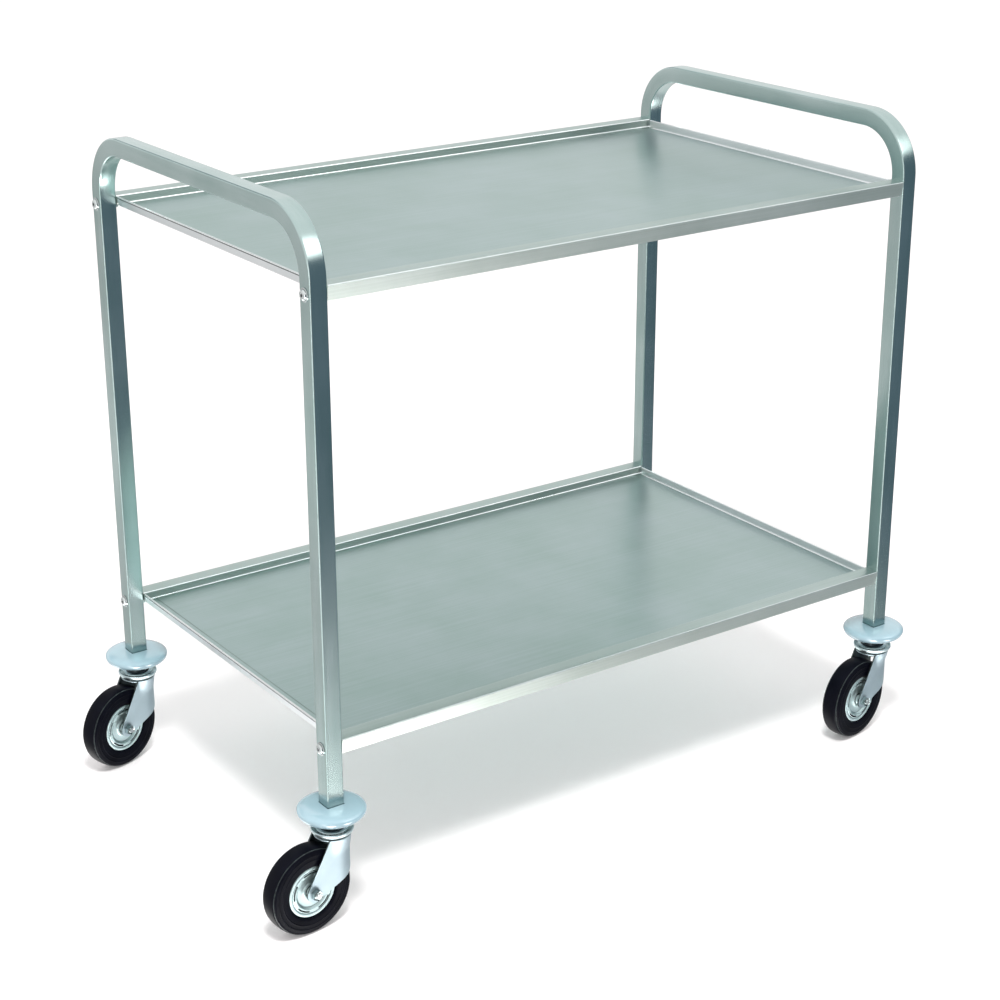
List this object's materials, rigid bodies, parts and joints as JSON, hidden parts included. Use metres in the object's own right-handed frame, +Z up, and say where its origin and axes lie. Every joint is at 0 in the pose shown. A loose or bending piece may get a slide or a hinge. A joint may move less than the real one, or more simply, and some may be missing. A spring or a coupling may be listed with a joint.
{
  "type": "service trolley",
  "caption": "Stainless-steel service trolley with flat trays bolted between bent square-tube end frames, push handles at both ends, round wall bumpers and swivel casters.",
  "frame": {"origin": "on the floor, under the middle of the whole object's bounding box", "axes": "+X along the trays towards the right-hand end frame, +Y towards the back, +Z up"},
  "size_m": [1.1268, 0.667, 0.962],
  "materials": {
    "stainless_sheet": "fine brushed stainless sheet",
    "stainless_tube": "polished stainless tube",
    "bright_steel": "bright plated fasteners",
    "zinc": "bright zinc plated pressings",
    "bumper": "smooth light grey moulding",
    "plug": "moulded nylon",
    "tyre": "black rubber"
  },
  "bodies": {
    "trolley_frame": {"end_frame_left": "stainless_tube", "end_frame_right": "stainless_tube", "tray_upper": "stainless_sheet", "tray_lower": "stainless_sheet", "tray_brackets_upper": "stainless_sheet", "tray_brackets_lower": "stainless_sheet", "tray_screws": "bright_steel", "tray_screw_washers": "bright_steel", "tray_nuts": "bright_steel", "leg_inserts": "plug", "front_left_bumper": "bumper", "front_left_stem": "zinc", "front_left_upper_race": "zinc", "front_left_kingpin_nut": "zinc", "back_left_bumper": "bumper", "back_left_stem": "zinc", "back_left_upper_race": "zinc", "back_left_kingpin_nut": "zinc", "front_right_bumper": "bumper", "front_right_stem": "zinc", "front_right_upper_race": "zinc", "front_right_kingpin_nut": "zinc", "back_right_bumper": "bumper", "back_right_stem": "zinc", "back_right_upper_race": "zinc", "back_right_kingpin_nut": "zinc"},
    "front_left_swivel": {"front_left_fork": "zinc", "front_left_race_cup": "zinc", "front_left_race_balls": "bright_steel", "front_left_axle_bolt": "bright_steel", "front_left_axle_nut": "bright_steel"},
    "front_left_wheel": {"front_left_tyre": "tyre", "front_left_rim_discs": "zinc", "front_left_hub_tube": "bright_steel"},
    "back_left_swivel": {"back_left_fork": "zinc", "back_left_race_cup": "zinc", "back_left_race_balls": "bright_steel", "back_left_axle_bolt": "bright_steel", "back_left_axle_nut": "bright_steel"},
    "back_left_wheel": {"back_left_tyre": "tyre", "back_left_rim_discs": "zinc", "back_left_hub_tube": "bright_steel"},
    "front_right_swivel": {"front_right_fork": "zinc", "front_right_race_cup": "zinc", "front_right_race_balls": "bright_steel", "front_right_axle_bolt": "bright_steel", "front_right_axle_nut": "bright_steel"},
    "front_right_wheel": {"front_right_tyre": "tyre", "front_right_rim_discs": "zinc", "front_right_hub_tube": "bright_steel"},
    "back_right_swivel": {"back_right_fork": "zinc", "back_right_race_cup": "zinc", "back_right_race_balls": "bright_steel", "back_right_axle_bolt": "bright_steel", "back_right_axle_nut": "bright_steel"},
    "back_right_wheel": {"back_right_tyre": "tyre", "back_right_rim_discs": "zinc", "back_right_hub_tube": "bright_steel"}
  },
  "joints": [
    {"name": "front_left_swivel_turn", "type": "hinge", "parent": "trolley_frame", "child": "front_left_swivel", "pos_m": [-0.4575, -0.2875, 0.1355], "axis": [0, 0, 1], "continuous": true},
    {"name": "front_left_wheel_spin", "type": "hinge", "parent": "front_left_swivel", "child": "front_left_wheel", "pos_m": [-0.50086, -0.29099, 0.0625], "axis": [-0.0802, 0.9968, 0], "continuous": true},
    {"name": "back_left_swivel_turn", "type": "hinge", "parent": "trolley_frame", "child": "back_left_swivel", "pos_m": [-0.4575, 0.2875, 0.1355], "axis": [0, 0, 1], "continuous": true},
    {"name": "back_left_wheel_spin", "type": "hinge", "parent": "back_left_swivel", "child": "back_left_wheel", "pos_m": [-0.49925, 0.27529, 0.0625], "axis": [-0.2807, 0.9598, 0], "continuous": true},
    {"name": "front_right_swivel_turn", "type": "hinge", "parent": "trolley_frame", "child": "front_right_swivel", "pos_m": [0.5175, -0.2875, 0.1355], "axis": [0, 0, 1], "continuous": true},
    {"name": "front_right_wheel_spin", "type": "hinge", "parent": "front_right_swivel", "child": "front_right_wheel", "pos_m": [0.47469, -0.2952, 0.0625], "axis": [-0.1771, 0.9842, 0], "continuous": true},
    {"name": "back_right_swivel_turn", "type": "hinge", "parent": "trolley_frame", "child": "back_right_swivel", "pos_m": [0.5175, 0.2875, 0.1355], "axis": [0, 0, 1], "continuous": true},
    {"name": "back_right_wheel_spin", "type": "hinge", "parent": "back_right_swivel", "child": "back_right_wheel", "pos_m": [0.47466, 0.27995, 0.0625], "axis": [-0.1736, 0.9848, 0], "continuous": true}
  ]
}
